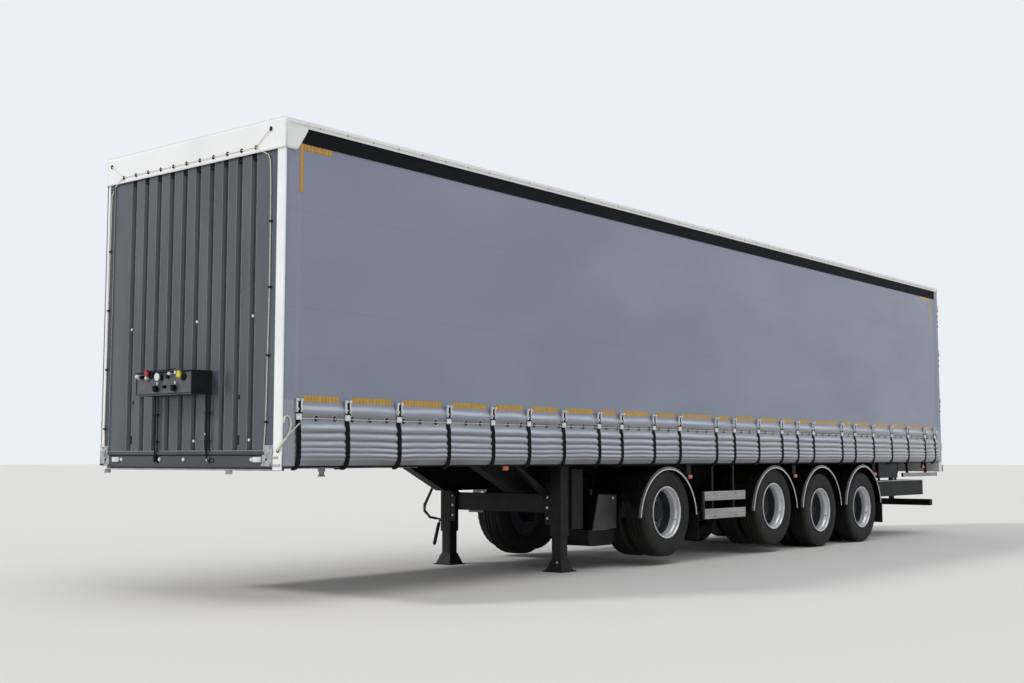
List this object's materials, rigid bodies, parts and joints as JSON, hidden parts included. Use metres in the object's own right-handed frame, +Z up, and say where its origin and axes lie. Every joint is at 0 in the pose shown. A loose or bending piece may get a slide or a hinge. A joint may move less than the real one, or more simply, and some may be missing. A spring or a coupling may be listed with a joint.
{
  "type": "semi trailer",
  "caption": "Curtain-sided semi trailer on lifted and lowered twin-tyre axles, parked on its landing legs, with a kingpin coupling, a grooved headboard and hinged rear doors.",
  "frame": {"origin": "on the ground, below the middle of the trailer's overall box", "axes": "+X forward to the headboard, +Y to the trailer's left, +Z up"},
  "size_m": [14.47, 2.5686, 4.05],
  "materials": {
    "body_white": "gloss",
    "headboard_slate": "satin",
    "band_slate": "satin",
    "frame_grey": "satin",
    "leg_grey": "satin",
    "axle_black": "satin",
    "box_grey": "satin",
    "door_panel": "satin",
    "bare_steel": "worn",
    "galvanised": "matt zinc",
    "aluminium": "mill finish",
    "rim_silver": "satin silver paint",
    "curtain_fabric": "coated cloth, slight gloss",
    "roof_fabric": "coated cloth, matt",
    "webbing": "woven",
    "plywood": "coated plywood",
    "tyre": "matt",
    "black_rubber": "matt",
    "black_plastic": "grained",
    "lamp_red": "clear gloss",
    "lamp_amber": "clear gloss"
  },
  "bodies": {
    "trailer": {"main_beams": "frame_grey", "cross_members": "frame_grey", "side_raves": "frame_grey", "floor_deck": "plywood", "coupler_plate": "bare_steel", "headboard": "headboard_slate", "front_posts": "body_white", "front_sill": "frame_grey", "connection_box": "box_grey", "cantrails": "band_slate", "roof_bows": "galvanised", "roof_tarp": "roof_fabric", "curtain_left": "curtain_fabric", "curtain_right": "curtain_fabric", "straps": "webbing", "side_posts": "galvanised", "side_laths": "aluminium", "rear_frame": "body_white", "rear_lamps": "lamp_red", "rear_buffers": "black_rubber", "underrun_guard": "frame_grey", "landing_legs": "leg_grey", "leg_brace": "leg_grey", "leg_crank": "bare_steel", "axle_beams": "axle_black", "trailing_arms": "axle_black", "hangers": "frame_grey", "air_springs": "black_rubber", "brake_chambers": "axle_black", "air_tanks": "axle_black", "fenders": "black_plastic", "mudflaps": "black_rubber", "spare_tyre": "tyre", "spare_rim": "rim_silver", "spare_carrier": "frame_grey", "tool_box": "black_plastic", "pallet_boxes": "box_grey", "side_guards": "aluminium", "marker_lamps": "lamp_amber"},
    "wheel_1_left": {"tyres_1_left": "tyre", "rims_1_left": "rim_silver"},
    "wheel_1_right": {"tyres_1_right": "tyre", "rims_1_right": "rim_silver"},
    "wheel_2_left": {"tyres_2_left": "tyre", "rims_2_left": "rim_silver"},
    "wheel_2_right": {"tyres_2_right": "tyre", "rims_2_right": "rim_silver"},
    "wheel_3_left": {"tyres_3_left": "tyre", "rims_3_left": "rim_silver"},
    "wheel_3_right": {"tyres_3_right": "tyre", "rims_3_right": "rim_silver"},
    "wheel_4_left": {"tyres_4_left": "tyre", "rims_4_left": "rim_silver"},
    "wheel_4_right": {"tyres_4_right": "tyre", "rims_4_right": "rim_silver"},
    "door_left": {"rear_door_left": "door_panel", "lock_rods_left": "galvanised"},
    "door_right": {"rear_door_right": "door_panel", "lock_rods_right": "galvanised"}
  },
  "joints": [
    {"name": "wheel_1_left_spin", "type": "hinge", "parent": "trailer", "child": "wheel_1_left", "pos_m": [1.205, 0.9525, 0.6], "axis": [0, 1, 0], "continuous": true},
    {"name": "wheel_1_right_spin", "type": "hinge", "parent": "trailer", "child": "wheel_1_right", "pos_m": [1.205, -0.9525, 0.6], "axis": [0, 1, 0], "continuous": true},
    {"name": "wheel_2_left_spin", "type": "hinge", "parent": "trailer", "child": "wheel_2_left", "pos_m": [-1.385, 0.9525, 0.6], "axis": [0, 1, 0], "continuous": true},
    {"name": "wheel_2_right_spin", "type": "hinge", "parent": "trailer", "child": "wheel_2_right", "pos_m": [-1.385, -0.9525, 0.6], "axis": [0, 1, 0], "continuous": true},
    {"name": "wheel_3_left_spin", "type": "hinge", "parent": "trailer", "child": "wheel_3_left", "pos_m": [-2.745, 0.9525, 0.507], "axis": [0, 1, 0], "continuous": true},
    {"name": "wheel_3_right_spin", "type": "hinge", "parent": "trailer", "child": "wheel_3_right", "pos_m": [-2.745, -0.9525, 0.507], "axis": [0, 1, 0], "continuous": true},
    {"name": "wheel_4_left_spin", "type": "hinge", "parent": "trailer", "child": "wheel_4_left", "pos_m": [-4.105, 0.9525, 0.507], "axis": [0, 1, 0], "continuous": true},
    {"name": "wheel_4_right_spin", "type": "hinge", "parent": "trailer", "child": "wheel_4_right", "pos_m": [-4.105, -0.9525, 0.507], "axis": [0, 1, 0], "continuous": true},
    {"name": "door_left_hinge", "type": "hinge", "parent": "trailer", "child": "door_left", "pos_m": [-7.211, 1.263, 2.5], "axis": [0, 0, -1], "range_deg": [0, 270]},
    {"name": "door_right_hinge", "type": "hinge", "parent": "trailer", "child": "door_right", "pos_m": [-7.211, -1.263, 2.5], "axis": [0, 0, 1], "range_deg": [0, 270]}
  ]
}
